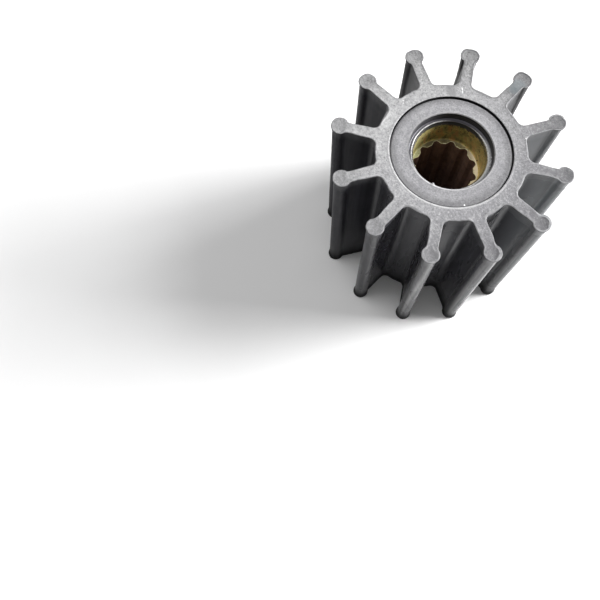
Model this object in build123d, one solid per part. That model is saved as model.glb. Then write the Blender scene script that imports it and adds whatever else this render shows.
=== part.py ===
from build123d import *
import math
import os

# ---------------------------------------------------------------
# Flexible-vane pump impeller: a moulded rubber body with twelve
# straight radial vanes, bonded round a machined brass hub insert.
# Frame: +Z up along the shaft axis, origin at the centre of the
# lower end face, one vane on +X.  Millimetres.
# ---------------------------------------------------------------

# overall
OUTER_DIA = 65.0          # over the vane tips
HEIGHT = 50.8             # end face to end face
N_VANES = 12

# vanes
TIP_BEAD_R = 2.4          # round sealing bead along each tip
VANE_T_ROOT = 3.6         # vane thickness where it leaves the hub
VANE_T_NECK = 3.1         # vane thickness just under the bead
ROOT_FILLET = 1.8
NECK_FILLET = 1.6

# rubber hub
HUB_R = 20.2              # floor of the valleys between vanes
FACE_GROOVE_RO = 16.38    # fine groove on the upper end face
FACE_GROOVE_RI = 16.2
FACE_GROOVE_DEPTH = 1.3
FACE_RECESS = 0.27        # land inside the groove sits this much lower
LAND_SHOULDER_R = 0.6     # rounded outer edge of that land
EYE_R = 11.3              # hole in the rubber skin over each end of the insert
SKIN_T = 2.2              # thickness of that skin

# brass hub insert
INSERT_R = 15.0
INSERT_BORE_R = 9.65      # plain bore at the upper end
INSERT_BORE_DEPTH = 9.6   # from the upper rubber face to the spline teeth
INSERT_CHAMFER = 0.55     # lead-in at the mouth of the plain bore
N_TEETH = 12
SPLINE_TIP_R = 8.0        # inner ends of the spline teeth
SPLINE_ROOT_R = 9.0       # bottom of the spline grooves
TOOTH_TIP_HALF_DEG = 6.0
TOOTH_ROOT_HALF_DEG = 11.4
TOOTH_PHASE_DEG = 11.0    # first tooth, measured from the vane on +X
TOOTH_TIP_ROUND = 0.35
TOOTH_ROOT_ROUND = 0.25

BOTTOM = (Align.CENTER, Align.CENTER, Align.MIN)


def polar(r, deg):
    return (r * math.cos(math.radians(deg)), r * math.sin(math.radians(deg)))


def body_outline():
    """End view of the rubber: hub disc, tapered vanes, round tip beads."""
    bead_c = OUTER_DIA / 2 - TIP_BEAD_R
    outline = Circle(HUB_R)
    for k in range(N_VANES):
        vane = make_face(Polyline(
            (HUB_R - 4.0, -VANE_T_ROOT / 2), (bead_c, -VANE_T_NECK / 2),
            (bead_c, VANE_T_NECK / 2), (HUB_R - 4.0, VANE_T_ROOT / 2),
            close=True))
        bead = Pos(bead_c, 0) * Circle(TIP_BEAD_R)
        outline += Rot(0, 0, k * 360 / N_VANES) * (vane + bead)

    def radius_of(v):
        return math.hypot(v.X, v.Y)

    roots = [v for v in outline.vertices() if abs(radius_of(v) - HUB_R) < 0.05]
    outline = fillet(roots, ROOT_FILLET)
    necks = [v for v in outline.vertices()
             if bead_c - TIP_BEAD_R < radius_of(v) < bead_c - 0.5]
    return fillet(necks, NECK_FILLET)


def spline_outline():
    """Clear opening through the splined length of the insert."""
    pitch = 360 / N_TEETH
    lines = []
    for k in range(N_TEETH):
        c = TOOTH_PHASE_DEG + k * pitch
        a = polar(SPLINE_ROOT_R, c - TOOTH_ROOT_HALF_DEG)
        b = polar(SPLINE_TIP_R, c - TOOTH_TIP_HALF_DEG)
        m = polar(SPLINE_TIP_R, c)
        d = polar(SPLINE_TIP_R, c + TOOTH_TIP_HALF_DEG)
        e = polar(SPLINE_ROOT_R, c + TOOTH_ROOT_HALF_DEG)
        r = polar(SPLINE_ROOT_R, c + pitch / 2)
        n = polar(SPLINE_ROOT_R, c + pitch - TOOTH_ROOT_HALF_DEG)
        lines += [Line(a, b), ThreePointArc(b, m, d), Line(d, e),
                  ThreePointArc(e, r, n)]
    opening = make_face(lines)
    mid = (SPLINE_TIP_R + SPLINE_ROOT_R) / 2
    tips = [v for v in opening.vertices() if math.hypot(v.X, v.Y) < mid]
    opening = fillet(tips, TOOTH_TIP_ROUND)
    roots = [v for v in opening.vertices()
             if abs(math.hypot(v.X, v.Y) - SPLINE_ROOT_R) < 0.01]
    return fillet(roots, TOOTH_ROOT_ROUND)


# --- rubber body ------------------------------------------------
insert_z0 = SKIN_T
insert_z1 = HEIGHT - SKIN_T

body = extrude(body_outline(), amount=HEIGHT)
body -= Pos(0, 0, insert_z0) * Cylinder(INSERT_R, insert_z1 - insert_z0, align=BOTTOM)
body -= Pos(0, 0, -1) * Cylinder(EYE_R, HEIGHT + 2, align=BOTTOM)
body -= Pos(0, 0, HEIGHT - FACE_RECESS) * Cylinder(FACE_GROOVE_RO, 1, align=BOTTOM)
body -= Pos(0, 0, HEIGHT - FACE_GROOVE_DEPTH) * (
    Cylinder(FACE_GROOVE_RO, 2, align=BOTTOM)
    - Cylinder(FACE_GROOVE_RI, 2, align=BOTTOM))
land_edge = [e for e in body.edges().filter_by(GeomType.CIRCLE)
             if abs(e.radius - FACE_GROOVE_RI) < 0.01
             and abs(e.center().Z - (HEIGHT - FACE_RECESS)) < 0.01]
body = fillet(land_edge, LAND_SHOULDER_R)

# --- brass insert -----------------------------------------------
insert_len = insert_z1 - insert_z0
bore_z = HEIGHT - INSERT_BORE_DEPTH
insert = Pos(0, 0, insert_z0) * Cylinder(INSERT_R, insert_len, align=BOTTOM)
insert -= Pos(0, 0, bore_z) * Cylinder(INSERT_BORE_R, HEIGHT, align=BOTTOM)
insert -= Pos(0, 0, insert_z1 - INSERT_CHAMFER) * Cone(
    INSERT_BORE_R, INSERT_BORE_R + INSERT_CHAMFER, INSERT_CHAMFER, align=BOTTOM)
insert -= Pos(0, 0, insert_z0 - 1) * extrude(spline_outline(), amount=HEIGHT)

body.label = "impeller_body"
insert.label = "hub_insert"

os.makedirs("parts", exist_ok=True)
for shape in (body, insert):
    solids = shape.solids()
    print(shape.label, "solids", len(solids), "volume mm3", round(shape.volume, 1),
          "box", shape.bounding_box().size)
    export_step(solids[0] if len(solids) == 1 else shape, f"parts/{shape.label}.step")
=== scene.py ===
import math

import bpy
import numpy as np
from mathutils import Matrix, Vector, noise
from mathutils.geometry import delaunay_2d_cdt


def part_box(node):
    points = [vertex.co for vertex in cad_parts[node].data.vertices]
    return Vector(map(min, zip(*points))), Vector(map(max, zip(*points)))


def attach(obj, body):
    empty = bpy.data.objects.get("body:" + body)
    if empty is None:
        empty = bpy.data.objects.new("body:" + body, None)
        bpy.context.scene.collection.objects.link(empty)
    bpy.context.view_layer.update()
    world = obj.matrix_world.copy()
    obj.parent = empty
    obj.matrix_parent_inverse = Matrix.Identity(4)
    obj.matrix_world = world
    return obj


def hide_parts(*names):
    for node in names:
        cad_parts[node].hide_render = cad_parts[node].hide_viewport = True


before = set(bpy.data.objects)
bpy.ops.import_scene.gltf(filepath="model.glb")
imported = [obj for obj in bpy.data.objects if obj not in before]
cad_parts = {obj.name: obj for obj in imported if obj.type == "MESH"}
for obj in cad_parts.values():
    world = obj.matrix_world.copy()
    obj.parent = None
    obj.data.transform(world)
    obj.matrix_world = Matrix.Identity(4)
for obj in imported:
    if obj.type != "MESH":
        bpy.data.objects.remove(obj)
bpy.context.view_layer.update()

MM = 0.001

# --- dimensions, in millimetres, as the frame has them ------------------------
body_lo, body_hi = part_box("impeller_body")
ins_lo, ins_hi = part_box("hub_insert")
H = body_hi[2] / MM                # height of the rubber
R_TIP = body_hi[0] / MM            # radius over the vane tips
INS_Z0, INS_Z1 = ins_lo[2] / MM, ins_hi[2] / MM
R_INS = ins_hi[0] / MM
N_VANES = 12
BEAD_R = 2.4
HUB_R = 20.2
T_ROOT, T_NECK = 3.6, 3.1
F_ROOT, F_NECK = 1.8, 1.6
BEAD_C = R_TIP - BEAD_R
GROOVE_RO, GROOVE_RI, GROOVE_D, RECESS = 16.38, 16.2, 1.3, 0.27
SHOULDER = 0.75
EYE_R = 11.3
BORE_R, BORE_Z = 9.65, H - 9.6
TEETH, TOOTH_TIP_R, TOOTH_ROOT_R, TOOTH_PHASE = 12, 8.0, 9.0, 11.0

# How far each vane leans round the hub at its tip, at the upper and the lower
# face, in mm. Vane 0 points along +X and the rest follow anticlockwise.
LEAN_TOP = [0.03, -0.16, -0.05, -0.14, 0.18, 0.15, 0.17, 0.10, -0.13, 0.02, -0.05, 0.10]
LEAN_LOW = [-0.01, -0.03, -0.08, -0.23, 0.00, 0.20, 0.00, 0.12, 0.02, 0.05, 0.04, 0.02]

# Places where the trimmed edge of the upper face wanders, in mm outward: vane,
# side of it (+1 is anticlockwise, 0 is both), zone and amount.
WANDER = [
    (4, -1, "valley", 0.29), (6, 1, "valley", 0.25), (0, 1, "valley", 0.18), (1, 1, "valley", 0.20),
    (1, -1, "valley", 0.18), (6, 1, "flank", 0.22), (5, -1, "flank", -0.20), (8, -1, "flank", -0.18),
    (0, 0, "bead", 0.18), (11, 1, "bead", 0.24), (8, -1, "bead", -0.08), (3, -1, "bead", 0.12),
    (8, 1, "bead", 0.22), (9, 1, "bead", 0.24), (10, 0, "bead", 0.16), (10, 1, "bead", 0.12), (11, 0, "bead", 0.14),
    (1, -1, "bead", 0.20), (2, -1, "bead", 0.18), (7, 0, "bead", 0.12),
]


# --- small helpers -------------------------------------------------------------
def smooth(x):
    x = np.clip(x, 0.0, 1.0)
    return x * x * (3 - 2 * x)


def n3(p, scale, seed=0.0):
    """Smooth noise in -1..1 at points p (mm), one feature about 1/scale mm across."""
    return np.array([noise.noise(Vector((x * scale + seed, y * scale - seed * 1.7, z * scale + seed * 0.6)))
                     for x, y, z in p])


def link(name, verts, faces, mats, face_mat=None, mask=None):
    me = bpy.data.meshes.new(name)
    me.from_pydata([tuple(v) for v in np.asarray(verts, float) * MM], [], [tuple(int(i) for i in f) for f in faces])
    for m in mats:
        me.materials.append(m)
    if face_mat is not None:
        me.polygons.foreach_set("material_index", np.asarray(face_mat, np.int32))
    if mask is not None:
        att = me.color_attributes.new(name="mask", type="FLOAT_COLOR", domain="POINT")
        m = np.zeros((len(verts), 4), np.float32)
        m[:, :mask.shape[1]] = mask
        att.data.foreach_set("color", m.ravel())
    me.polygons.foreach_set("use_smooth", np.ones(len(me.polygons), bool))
    me.update()
    me.validate()
    ob = bpy.data.objects.new(name, me)
    bpy.context.scene.collection.objects.link(ob)
    return ob


# --- outline of the rubber, one half vane at a time ----------------------------
def half_vane():
    """Points (u, v), outward normals, and how much each point belongs to the bead, to the
    valley and to the hollow of the root fillet, from the bead's crown to the middle of
    the valley floor beside it. u runs out along the vane, v to its left."""
    m = (T_NECK - T_ROOT) / 2 / (BEAD_C - (HUB_R - 4))
    b = T_ROOT / 2 - m * (HUB_R - 4)
    k = math.hypot(1, m)
    nf = np.array([-m, 1.0]) / k                       # flank normal

    def centre(off, cu, rad, inner):
        # point `off` above the flank and `rad` from (cu, 0)
        c = b + off * k
        A, B, C = 1 + m * m, 2 * (m * c - cu), cu * cu + c * c - rad * rad
        s = math.sqrt(B * B - 4 * A * C)
        u = (-B - s) / (2 * A) if inner else (-B + s) / (2 * A)
        return np.array([u, m * u + c])

    cn = centre(F_NECK, BEAD_C, BEAD_R + F_NECK, True)
    cr = centre(F_ROOT, 0.0, HUB_R + F_ROOT, False)
    pts, nor, wts = [], [], []

    def arc(c, r, a0, a1, n, out, w, last=False):
        for i in range(n + (1 if last else 0)):
            a = a0 + (a1 - a0) * i / n
            d = np.array([math.cos(a), math.sin(a)])
            pts.append(c + r * d)
            nor.append(d * out)
            wts.append(w(i / n))

    a_bead = math.atan2(cn[1], cn[0] - BEAD_C)
    arc(np.array([BEAD_C, 0.0]), BEAD_R, 0.0, a_bead, 26, 1, lambda t: (1.0, 0.0, 0.0))
    a0 = math.atan2(-cn[1], BEAD_C - cn[0])
    a1 = -math.pi / 2 + math.atan(m)
    arc(cn, F_NECK, a0, a1, 7, -1, lambda t: (1.0 - 0.75 * t, 0.0, 0.0))
    p0, p1 = cn - nf * F_NECK, cr - nf * F_ROOT
    for i in range(9):
        pts.append(p0 + (p1 - p0) * i / 9)
        nor.append(nf)
        wts.append((max(0.0, 0.25 - i * 0.12), 0.0, 0.0))
    b1 = math.atan2(-cr[1], -cr[0])
    b1 = b1 - 2 * math.pi if b1 > 0 else b1
    arc(cr, F_ROOT, a1, b1, 14, -1, lambda t: (0.0, t, math.exp(-((t - 0.55) / 0.24) ** 2)))
    h0 = math.atan2(cr[1], cr[0])
    arc(np.zeros(2), HUB_R, h0, math.pi / N_VANES, 5, 1, lambda t: (0.0, 1.0, 0.0), last=True)
    return np.array(pts), np.array(nor), np.array(wts)


def full_outline():
    p, n, w = half_vane()
    left_p, left_n, left_w = p[1:-1], n[1:-1], w[1:-1]
    right_p, right_n = left_p[::-1] * [1, -1], left_n[::-1] * [1, -1]
    # one sector, anticlockwise: valley middle (right), right half, crown, left half
    sp = np.vstack([p[-1:] * [1, -1], right_p, p[:1], left_p])
    sn = np.vstack([n[-1:] * [1, -1], right_n, n[:1], left_n])
    sw = np.vstack([w[-1:], left_w[::-1], w[:1], left_w])
    P, N, W, K = [], [], [], []
    for k in range(N_VANES):
        a = 2 * math.pi * k / N_VANES
        R = np.array([[math.cos(a), -math.sin(a)], [math.sin(a), math.cos(a)]])
        P.append(sp @ R.T)
        N.append(sn @ R.T)
        W.append(sw)
        K.append(np.full(len(sp), k))
    return np.vstack(P), np.vstack(N), np.vstack(W), np.concatenate(K)


OUT_P, OUT_N, OUT_W, OUT_K = full_outline()
N_OUT = len(OUT_P)
W_BEAD, W_VALLEY, W_FILLET = OUT_W[:, 0], OUT_W[:, 1], OUT_W[:, 2]


def local(xy):
    """Vane number, distance out along it and distance to its left."""
    ang = np.arctan2(xy[:, 1], xy[:, 0])
    k = np.round(ang / (2 * math.pi / N_VANES)).astype(int) % N_VANES
    a = k * 2 * math.pi / N_VANES
    u = xy[:, 0] * np.cos(a) + xy[:, 1] * np.sin(a)
    v = -xy[:, 0] * np.sin(a) + xy[:, 1] * np.cos(a)
    return k, u, v


def lean(p):
    """Leans the vanes a little, as soft rubber ones stand."""
    k, u, v = local(p[:, :2])
    w = smooth((u - 21.0) / 10.0) * (u > 21.0)
    top, low = np.array(LEAN_TOP)[k], np.array(LEAN_LOW)[k]
    f = 1 - p[:, 2] / H
    d = (top + (low - top) * smooth(f)) * w
    a = k * 2 * math.pi / N_VANES
    q = p.copy()
    q[:, 0] += -np.sin(a) * d
    q[:, 1] += np.cos(a) * d
    return q


def loop_smooth(x, n):
    for _ in range(n):
        x = (np.roll(x, 1) + 2 * x + np.roll(x, -1)) / 4
    return x


def top_wander():
    """How far the edge of the upper face stands out from the plain outline."""
    z = np.full(N_OUT, H)
    p = np.c_[OUT_P, z]
    w = 0.055 * n3(p, 0.30, 41.0) + 0.060 * n3(p, 0.75, 17.0) + 0.055 * n3(p, 1.7, 6.0)
    w *= 0.75 + 0.6 * np.clip(n3(p, 0.11, 29.0), -0.5, 1.0) + 0.5 * W_VALLEY
    _, u, v = local(OUT_P)
    neck = np.exp(-((u - 26.8) / 1.6) ** 2) * (1 - W_VALLEY)
    w -= 0.07 * neck
    # the tips' edges crumble a little
    w += 0.050 * np.where(u > 28.0, 1.0, 0.0) * n3(p, 1.2, 55.0)
    for k, side, zone, amount in WANDER:
        on = (OUT_K == k).astype(float)
        if side:
            on *= smooth(side * v / 0.8)
        if zone == "valley":
            g = W_VALLEY * np.exp(-((np.abs(v) - 3.6) / 1.3) ** 2)
        elif zone == "flank":
            g = np.exp(-((u - 25.6) / 1.5) ** 2) * (1 - W_VALLEY)
        else:
            crown = smooth((np.abs(v) - 0.6) / 1.2)
            g = np.where(u > 28.4, crown, 0.0)
        w += amount * on * g
    return loop_smooth(w, 1)


WAVE_TOP = top_wander()
WAVE_LOW = 0.05 * n3(np.c_[OUT_P, np.zeros(N_OUT)], 0.4, 77.0)
# how far in from the outline the flat of the upper face ends: a wider, sloping
# margin on the tips and in the valleys, and one that varies as trimming leaves it
_e = np.c_[OUT_P, np.full(N_OUT, H)]
_k, _u, _v = local(OUT_P)
CREST = 0.24 + 0.04 * W_BEAD + 0.10 * W_VALLEY + (0.05 + 0.14 * W_VALLEY) * n3(_e, 0.35, 12.0) + 0.085 * n3(_e, 1.2, 33.0)
for _kk, _side, _zone, _w in ((6, 1, "bead", 0.46), (7, 1, "bead", 0.42), (7, -1, "bead", 0.20), (9, 1, "bead", 0.18), (5, 1, "bead", 0.12),
                              (6, 1, "valley", 0.55), (4, 1, "valley", 0.30), (7, -1, "valley", 0.30), (1, 1, "valley", 0.20)):
    _on = (OUT_K == _kk) * smooth(_side * _v / 1.2 + 0.35)
    CREST = CREST + _w * _on * (W_VALLEY if _zone == "valley" else W_BEAD)
CREST = loop_smooth(np.clip(CREST, 0.15, 0.90), 3)


# --- rubber body -----------------------------------------------------------------
FACE_Z = H - 0.07       # flat of the upper face; the lip round it stands up to H
UNDER_FLANK, UNDER_BEAD = 0.15, 0.345    # how far the moulded sides stand in under the face


def lip(d):
    """Height of the lip at distance d inside its crest line."""
    return 0.062 * np.exp(-((d - 0.10) / 0.15) ** 2)


# the margin outside the crest: (how far across it, how far down it has come)
DROP = 0.20
MARGIN = ((1.0, 0.0), (0.84, 0.03), (0.64, 0.09), (0.44, 0.18), (0.26, 0.32), (0.11, 0.52), (0.02, 0.78), (0.0, 1.0))
# under it, down to the moulded wall: (mm below the margin, part of the undercut)
STEP = ((0.16, 0.0), (0.28, 0.16), (0.42, 0.50), (0.58, 0.82), (0.80, 1.0))
# the foot, where the wall flares out again: (z, part of the undercut)
FOOT = ((3.1, 1.0), (2.6, 0.98), (2.15, 0.88), (1.75, 0.68), (1.4, 0.44), (1.1, 0.24), (0.82, 0.10), (0.55, 0.02), (0.36, 0.0))


def build_body(mat_face, mat_side, mat_land, mat_groove, mat_eye):
    V, F, M, K = [], [], [], []          # vertices, faces, face material, masks
    count = 0

    def add(p, mask):
        nonlocal count
        V.append(p)
        K.append(mask)
        count += len(p)
        return np.arange(count - len(p), count)

    def strip(a, b, mat):
        """Quads between two closed rings of vertex numbers, a above b, outward."""
        a2, b2 = np.roll(a, -1), np.roll(b, -1)
        for i in range(len(a)):
            F.append((a[i], b[i], b2[i], a2[i]))
            M.append(mat)

    # side rings, top to bottom: height and distance in from the outline, one of each per point
    under = UNDER_FLANK + (UNDER_BEAD - UNDER_FLANK) * W_BEAD
    top = FACE_Z + float(lip(0.0))
    rings = []
    for off, drop in MARGIN:
        rings.append((top - (DROP - 0.11 * W_BEAD + 0.10 * (CREST - 0.25)) * drop, CREST * off, "margin"))
    z_m = rings[-1][0]
    for dz, part in STEP:
        rings.append((z_m - dz, under * part, "step"))
    z_w = rings[-1][0]
    n = 18
    for i in range(1, n):
        rings.append((z_w + (FOOT[0][0] - z_w) * i / n, under, "wall"))
    for z, part in FOOT:
        rings.append((np.full(N_OUT, z), under * part, "foot"))
    for t in (0, 30, 60, 90):
        th = math.radians(t)
        rings.append((np.full(N_OUT, 0.24 * (1 - math.sin(th))), np.full(N_OUT, 0.24 * (1 - math.cos(th)) + 0.01), "base"))

    side_ids = []
    for j, (z, off, zone) in enumerate(rings):
        zm = float(np.mean(z))
        g = smooth(np.array([(zm - (H - 9.0)) / 8.0]))[0]
        wave = WAVE_TOP * (g if zone not in ("margin", "step") else 1.0)
        if zm < 3.5:
            wave = WAVE_LOW * (1 - zm / 3.5)
        p = np.c_[OUT_P - OUT_N * off[:, None], z]
        fade = min(1.0, max(0.0, (H - 0.9 - zm) / 2.0))
        low = 1.0 - min(1.0, zm / 3.2)
        # slow swells in the wall, longer along the vane than round it
        w = (0.040 + 0.02 * W_BEAD) * n3(p * [1, 1, 0.35], 0.16, 3.0) * fade
        w += 0.020 * n3(p * [1, 1, 0.12], 0.55, 8.0) * fade
        if zone in ("foot", "base") and zm > 0.05:
            w += (0.085 * n3(p, 0.9, 21.0) + 0.055 * n3(p, 2.1, 5.0)) * low
        if zone == "margin" and j > 0:
            w += 0.018 * n3(p, 1.6, 52.0) * (j / len(MARGIN))
        if zone == "step":
            w += 0.03 * n3(p, 1.1, 14.0)
        w = np.minimum(w, np.maximum(off - 0.01, 0.0))
        if zone in ("foot", "base"):
            w = np.where(off < 0.02, np.minimum(w, 0.0) * 0.8, w)
        p[:, :2] += OUT_N * (w + wave)[:, None]
        p = lean(p)
        p[:, :2] = np.clip(p[:, :2], -R_TIP, R_TIP)
        if zone == "margin":
            m_top = 1.0 - 0.75 * (j / (len(MARGIN) - 1)) ** 1.2
        elif zone == "step":
            m_top = 0.22
        else:
            m_top = 0.0
        side_ids.append(add(p, np.c_[W_FILLET, np.full(N_OUT, m_top), np.full(N_OUT, low), W_BEAD]))
    for i in range(len(rings) - 1):
        strip(side_ids[i], side_ids[i + 1], 1)

    # end faces: constrained triangles between the outline and a round hole
    def end_face(z0, edge_ids, off0, wave, hole_r, hole_n, offs, pitch, r_rings, upper):
        nonlocal count
        base = OUT_P + OUT_N * wave[:, None]
        edge_xy = base - OUT_N * off0[:, None]
        pts = [q for q in edge_xy]
        dist = [0.0] * N_OUT
        outer = list(range(N_OUT))
        th = np.linspace(0, 2 * math.pi, hole_n, endpoint=False)
        hole = list(range(N_OUT, N_OUT + hole_n))
        for a in th:
            pts.append(np.array([hole_r * math.cos(a), hole_r * math.sin(a)]))
            dist.append(9.0)
        extra = []
        _, bu, bv = local(OUT_P)
        for o in offs:
            step = 1 if upper and o < 0.25 else 2
            for i in range(0, N_OUT, step):
                q = base[i] - OUT_N[i] * (off0[i] + o)
                k, u, v = local(q[None])
                if u[0] < BEAD_C - 1.2 and (abs(v[0]) < 0.14 or v[0] * bv[i] < 0) and abs(bv[i]) < 3.0:
                    continue
                extra.append((q, o))
        for r in r_rings:
            for a in th:
                extra.append((np.array([r * math.cos(a), r * math.sin(a)]), 9.0))
        # filling grid
        g = np.arange(-R_TIP, R_TIP, pitch)
        gx, gy = np.meshgrid(g, g * 0.8660254)
        gx = gx + (np.arange(len(g)) % 2)[:, None] * pitch / 2
        q = np.c_[gx.ravel(), gy.ravel()]
        rr = np.hypot(q[:, 0], q[:, 1])
        q = q[(rr < R_TIP) & (rr > max(r_rings) + pitch * 0.6)]
        keep = []
        for s in range(0, len(q), 2000):
            c = q[s:s + 2000]
            d = np.hypot(c[:, None, 0] - edge_xy[None, :, 0], c[:, None, 1] - edge_xy[None, :, 1])
            j = d.argmin(1)
            inside = ((c - edge_xy[j]) * OUT_N[j]).sum(1) < 0
            dm = d[np.arange(len(c)), j]
            ok = inside & (dm > max(offs) + pitch * 0.45)
            keep += [(c[i], dm[i]) for i in np.where(ok)[0]]
        allp = pts + [e[0] for e in extra] + [e[0] for e in keep]
        alld = np.array(dist + [e[1] for e in extra] + [e[1] for e in keep])
        coords = [Vector((float(a[0]), float(a[1]))) for a in allp]
        edges = [(outer[i], outer[(i + 1) % N_OUT]) for i in range(N_OUT)]
        edges += [(hole[i], hole[(i + 1) % hole_n]) for i in range(hole_n)]
        vo, eo, fo, ov, oe, of_ = delaunay_2d_cdt(coords, edges, [], 0, 1e-6)
        # map result vertices to input ones
        src = [o[0] if o else -1 for o in ov]
        xy = np.array([[v.x, v.y] for v in vo])
        dd = np.array([alld[s] if s >= 0 else 1.0 for s in src])
        tri = np.array([f for f in fo])
        c = xy[tri].mean(1)
        rr = np.hypot(c[:, 0], c[:, 1])
        # keep the triangles whose middle is in the rubber
        inside = np.zeros(len(c), bool)
        x0, y0 = edge_xy[:, 0], edge_xy[:, 1]
        x1, y1 = np.roll(x0, -1), np.roll(y0, -1)
        for s in range(0, len(c), 1500):
            px, py = c[s:s + 1500, 0:1], c[s:s + 1500, 1:2]
            cond = ((y0 > py) != (y1 > py))
            with np.errstate(divide="ignore", invalid="ignore"):
                xs = (x1 - x0) * (py - y0) / (y1 - y0) + x0
            inside[s:s + 1500] = (np.sum(cond & (px < xs), axis=1) % 2) == 1
        tri = tri[inside & (rr > hole_r * math.cos(math.pi / hole_n) - 1e-6)]
        used = np.unique(tri)
        # heights
        k, u, v = local(xy)
        rho = np.hypot(u - BEAD_C, v)
        p3 = np.c_[xy, np.full(len(xy), z0)]
        if upper:
            # the lip's height differs from place to place
            tall = 0.55 + 0.9 * n3(p3, 0.4, 61.0) + 0.5 * n3(p3, 1.3, 19.0)
            h = lip(dd) * np.clip(tall, 0.0, 1.2)
            h -= 0.085 * smooth((1.50 - rho) / 0.6)
            h += 0.022 * n3(p3, 0.55, 11.0) + 0.018 * n3(p3, 1.7, 2.0) + 0.03 * n3(p3, 0.12, 6.0)
            h = np.where(dd >= 0.01, h, lip(0.0))
            # flat again beside the groove
            r = np.hypot(xy[:, 0], xy[:, 1])
            g = smooth((r - GROOVE_RO - 0.75) / 0.7)
            h = h * g + 0.012 * (1 - g)
            z = np.minimum(z0 + h, H)
            rim = np.exp(-((dd - 0.10) / 0.16) ** 2)
            bead = smooth((2.3 - rho) / 0.9)
            mask = np.c_[rim, bead, np.zeros(len(xy)), np.zeros(len(xy))]
        else:
            z = np.full(len(xy), 0.0)
            mask = np.c_[np.zeros(len(xy)), smooth((2.5 - rho) / 0.9), np.zeros(len(xy)), np.zeros(len(xy))]
        p3 = lean(np.c_[xy, z])
        ids = np.full(len(xy), -1)
        # shared rings first
        inv = {s: i for i, s in enumerate(src) if s >= 0}
        for i in range(N_OUT):
            ids[inv[i]] = edge_ids[i]
        rest = [i for i in used if ids[i] < 0]
        new = add(p3[rest], mask[rest])
        ids[rest] = new
        for a, b, c_ in tri:
            # face up or down
            ax, ay = xy[a]; bx, by = xy[b]; cx, cy = xy[c_]
            ccw = (bx - ax) * (cy - ay) - (by - ay) * (cx - ax) > 0
            t = (ids[a], ids[b], ids[c_]) if ccw == upper else (ids[a], ids[c_], ids[b])
            F.append(t)
            M.append(0)
        return np.array([ids[inv[N_OUT + i]] for i in range(hole_n)])

    NH = 360
    top_hole = end_face(FACE_Z, side_ids[0], CREST, WAVE_TOP, GROOVE_RO + 0.74, NH,
                        (0.08, 0.17, 0.28, 0.44, 0.70), 0.52,
                        (GROOVE_RO + 0.92, GROOVE_RO + 1.20, GROOVE_RO + 1.6), True)
    low_hole = end_face(0.0, side_ids[-1], np.full(N_OUT, 0.25), WAVE_LOW, EYE_R + 0.35, NH,
                        (0.3, 0.8), 1.0, (EYE_R + 0.9, EYE_R + 1.8), False)

    # turned part of the upper face, the eye and the seat of the insert
    th = np.linspace(0, 2 * math.pi, NH, endpoint=False)
    zf = FACE_Z + 0.012
    zl = H - RECESS
    zg = H - GROOVE_D
    # the groove gapes a little on one side, where the inner edge is rounded off more
    gape = smooth(0.5 + 0.5 * np.cos(th - math.radians(325)))
    g_in = GROOVE_RI + 0.04 - 0.16 * gape
    sh_w = 0.32 + (SHOULDER - 0.20) * gape
    sh_d = 0.30 + 0.32 * gape
    up = 0.30 + 0.70 * smooth(0.62 + 0.75 * np.cos(th - math.radians(150)))
    prof = [(GROOVE_RO + 0.62, zf + 0.008 * up, 0), (GROOVE_RO + 0.54, zf + 0.030 * up, 0), (GROOVE_RO + 0.44, zf + 0.048 * up, 0),
            (GROOVE_RO + 0.32, zf + 0.055 * up, 0), (GROOVE_RO + 0.20, zf + 0.050 * up, 0), (GROOVE_RO + 0.10, zf + 0.035 * up, 0),
            (GROOVE_RO + 0.03, zf - 0.005, 0), (GROOVE_RO, zf - 0.07, 0), (GROOVE_RO, zf - 0.14, 3),
            (GROOVE_RO, zf - 0.45, 3), (GROOVE_RO - 0.005, (zf - 0.45 + zg) / 2, 3), (GROOVE_RO - 0.01, zg + 0.05, 3),
            (GROOVE_RO - 0.04, zg, 3), (g_in + 0.03, zg, 3), (g_in + 0.005, zg + 0.05, 3)]
    for t in (0, 15, 30, 45, 58, 70, 81):
        a = math.radians(t)
        prof.append((g_in - sh_w * (1 - math.cos(a)), zl - sh_d * (1 - math.sin(a)), 2))
    prof += [(g_in - sh_w - 0.04, zl, 2), (15.0, zl - 0.01, 2), (14.5, zl - 0.02, 2), (14.0, zl - 0.02, 2),
             (13.5, zl - 0.03, 2), (13.0, zl - 0.02, 2), (12.5, zl - 0.015, 2), (12.1, zl - 0.005, 2),
             (11.9, zl + 0.005, 2), (11.78, zl + 0.02, 2), (11.68, zl + 0.022, 2), (11.58, zl + 0.0, 2),
             (11.48, zl - 0.05, 2), (11.39, zl - 0.12, 2), (11.33, zl - 0.21, 2),
             (EYE_R, zl - 0.34, 4), (EYE_R + 0.02, zl - 0.6, 4), (EYE_R + 0.02, zl - 1.0, 4), (EYE_R + 0.02, zl - 1.5, 4),
             (EYE_R - 0.02, INS_Z1 + 0.12, 4), (EYE_R - 0.12, INS_Z1 + 0.0, 4),
             (R_INS, INS_Z1, 1), (R_INS, H * 0.7, 1), (R_INS, H * 0.3, 1), (R_INS, INS_Z0, 1),
             (EYE_R, INS_Z0, 1), (EYE_R, 1.5, 1), (EYE_R, 0.8, 1), (EYE_R, 0.35, 1), (EYE_R + 0.10, 0.10, 1)]
    prev = top_hole
    for r_, z_, mat in prof:
        p = np.c_[r_ * np.cos(th), r_ * np.sin(th), np.zeros(NH) + z_]
        r, z = float(np.mean(r_)), float(np.mean(z_))
        if z > H - 0.9 and r > EYE_R + 0.5:
            p[:, 2] += 0.016 * n3(p, 0.35, 31.0)
        if EYE_R - 0.01 <= r < 11.8 and z > INS_Z1 + 0.3:
            rad = 0.035 * n3(p, 0.5, 9.0) + 0.02 * n3(p, 1.6, 4.0)
            p[:, 0] += np.cos(th) * rad
            p[:, 1] += np.sin(th) * rad
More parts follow.
